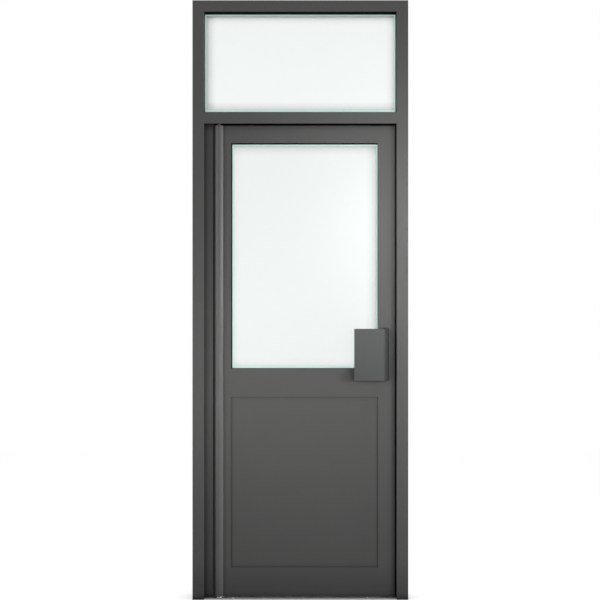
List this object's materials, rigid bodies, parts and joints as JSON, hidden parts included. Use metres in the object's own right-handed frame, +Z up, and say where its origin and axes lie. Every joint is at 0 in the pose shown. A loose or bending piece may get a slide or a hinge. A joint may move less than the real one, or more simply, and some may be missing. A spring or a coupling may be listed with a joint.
{
  "type": "glazed entrance door in its frame",
  "caption": "Dark grey aluminium entrance door in its frame: half-glazed leaf with a solid lower panel on a round pivot stile, a folded pull plate, and a glazed transom light above.",
  "frame": {"origin": "middle of the underside of the threshold, at half the frame's depth", "axes": "+Z up, +X towards the lock jamb as seen from the front, +Y from the front to the back"},
  "size_m": [0.9, 0.115, 2.5],
  "materials": {
    "coated_aluminium": "satin dark grey powder coat",
    "coated_steel": "satin dark grey powder coat",
    "coated_panel": "satin dark grey powder coat",
    "mill_aluminium": "natural",
    "satin_glass": "satin laminated",
    "black_rubber": "matte",
    "black_nylon": "matte",
    "zinc_steel": "zinc plated",
    "bearing_bronze": "turned"
  },
  "bodies": {
    "frame": {"hinge_jamb": "coated_aluminium", "lock_jamb": "coated_aluminium", "head": "coated_aluminium", "transom_bar": "coated_aluminium", "finger_guard": "coated_aluminium", "lock_stop": "coated_aluminium", "top_stop": "coated_aluminium", "transom_bead_top": "coated_aluminium", "transom_bead_bottom": "coated_aluminium", "transom_bead_left": "coated_aluminium", "transom_bead_right": "coated_aluminium", "threshold": "mill_aluminium", "corner_cleats": "mill_aluminium", "transom_cleats": "mill_aluminium", "transom_glass": "satin_glass", "transom_gasket_outer": "black_rubber", "transom_gasket_inner": "black_rubber", "lock_stop_gasket": "black_rubber", "top_stop_gasket": "black_rubber", "guard_seal_front": "black_rubber", "guard_seal_rear": "black_rubber", "transom_setting_blocks": "black_nylon", "floor_pivot": "zinc_steel", "top_pivot_block": "zinc_steel", "top_pivot_pin": "zinc_steel", "magnet_lower": "zinc_steel", "magnet_upper": "zinc_steel", "magnet_screws": "zinc_steel"},
    "leaf": {"pivot_stile": "coated_aluminium", "lock_stile": "coated_aluminium", "top_rail": "coated_aluminium", "mid_rail": "coated_aluminium", "bottom_rail": "coated_aluminium", "rail_cleats": "mill_aluminium", "leaf_glass": "satin_glass", "leaf_gasket_outer": "black_rubber", "leaf_gasket_inner": "black_rubber", "leaf_bead_top": "coated_aluminium", "leaf_bead_bottom": "coated_aluminium", "leaf_bead_left": "coated_aluminium", "leaf_bead_right": "coated_aluminium", "leaf_setting_blocks": "black_nylon", "kick_panel": "coated_panel", "panel_gasket_outer": "black_rubber", "panel_gasket_inner": "black_rubber", "panel_bead_top": "coated_aluminium", "panel_bead_bottom": "coated_aluminium", "panel_bead_left": "coated_aluminium", "panel_bead_right": "coated_aluminium", "pull_handle": "coated_steel", "handle_bolts": "zinc_steel", "handle_spacers": "zinc_steel", "armature_lower": "zinc_steel", "armature_upper": "zinc_steel", "armature_straps": "zinc_steel", "armature_screws": "zinc_steel", "pivot_plugs": "black_nylon", "pivot_bushes": "bearing_bronze", "bottom_brush": "black_rubber", "stile_caps": "black_nylon"}
  },
  "joints": [
    {"name": "leaf_swing", "type": "hinge", "parent": "frame", "child": "leaf", "pos_m": [-0.34, -0.017, 0], "axis": [0, 0, -1], "range_deg": [0, 110]}
  ]
}
